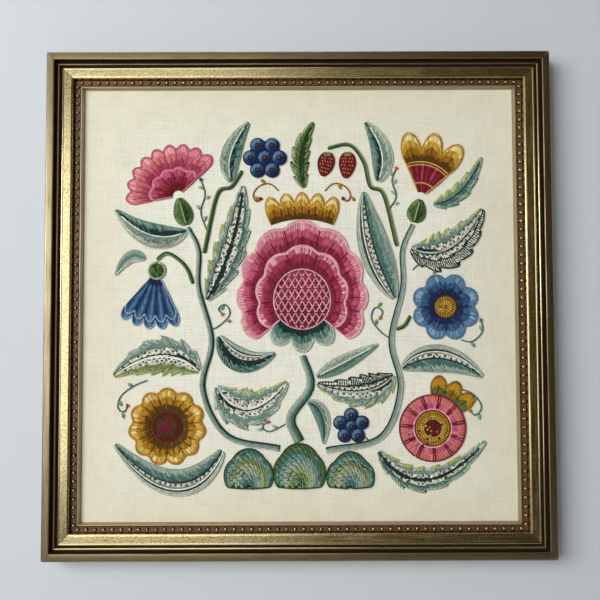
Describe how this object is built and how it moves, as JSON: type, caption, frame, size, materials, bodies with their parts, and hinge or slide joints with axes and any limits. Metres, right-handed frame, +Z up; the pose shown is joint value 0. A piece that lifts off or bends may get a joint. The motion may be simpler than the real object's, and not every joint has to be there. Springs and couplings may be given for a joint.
{
  "type": "crewel embroidery panel in picture frame",
  "caption": "Square crewel embroidery of flowers and leaves in wool on stretched linen, held in a gilt wooden picture frame.",
  "frame": {"origin": "middle of the top rail's back face, where the frame meets the wall", "axes": "+Z up, +X to the viewer's right, +Y into the wall, the front faces -Y"},
  "size_m": [0.4572, 0.022, 0.4572],
  "materials": {
    "gilt": "gilt over dark red ground, satin",
    "linen": "plain woven, matte",
    "wool_rose_deep": "stitched wool",
    "wool_rose": "stitched wool",
    "wool_pink": "stitched wool",
    "wool_coral": "stitched wool",
    "wool_crimson": "stitched wool",
    "wool_navy": "stitched wool",
    "wool_blue": "stitched wool",
    "wool_gold": "stitched wool",
    "wool_ochre": "stitched wool",
    "wool_sage": "stitched wool",
    "wool_teal": "stitched wool",
    "wool_green": "stitched wool",
    "wool_olive": "stitched wool"
  },
  "bodies": {
    "root": {"rail_top": "gilt", "rail_left": "gilt", "rail_bottom": "gilt", "rail_right": "gilt", "linen": "linen", "stem_trunk": "wool_teal", "stem_left": "wool_teal", "stem_right": "wool_teal", "stem_bell": "wool_green", "stem_rosette": "wool_green", "stem_top_left": "wool_green", "stem_top_right": "wool_green", "leaf_lower_left": "wool_sage", "leaf_bloom_left": "wool_sage", "leaf_bottom_left": "wool_teal", "leaf_left": "wool_olive", "leaf_upper_left": "wool_teal", "leaf_lower_right": "wool_olive", "leaf_bloom_right": "wool_teal", "leaf_bottom_right": "wool_sage", "leaf_right": "wool_sage", "leaf_upper_right": "wool_olive", "leaf_top_left": "wool_sage", "leaf_inner_left": "wool_teal", "leaf_inner_right": "wool_teal", "leaf_top_middle": "wool_olive", "leaf_top_right": "wool_sage", "leaf_bell": "wool_sage", "leaf_tulip": "wool_sage", "leaf_trunk": "wool_sage", "strawberry_left": "wool_crimson", "strawberry_right": "wool_crimson", "carnation_cup": "wool_green", "tulip_cup": "wool_green", "bloom_core": "wool_rose_deep", "bloom_middle": "wool_pink", "bloom_outer": "wool_rose", "bloom_calyx": "wool_green", "bloom_crest": "wool_gold", "carnation_inner": "wool_rose_deep", "carnation_outer": "wool_coral", "tulip_inner": "wool_crimson", "tulip_outer": "wool_gold", "bell_cap": "wool_green", "bell": "wool_blue", "rosette_eye": "wool_gold", "rosette": "wool_blue", "marigold_eye": "wool_crimson", "marigold": "wool_gold", "pomegranate_heart": "wool_gold", "pomegranate": "wool_coral", "pomegranate_crown": "wool_ochre", "berries_top": "wool_navy", "berries_bottom": "wool_navy", "hillock_left": "wool_olive", "hillock_middle": "wool_green", "hillock_right": "wool_olive"}
  },
  "joints": []
}
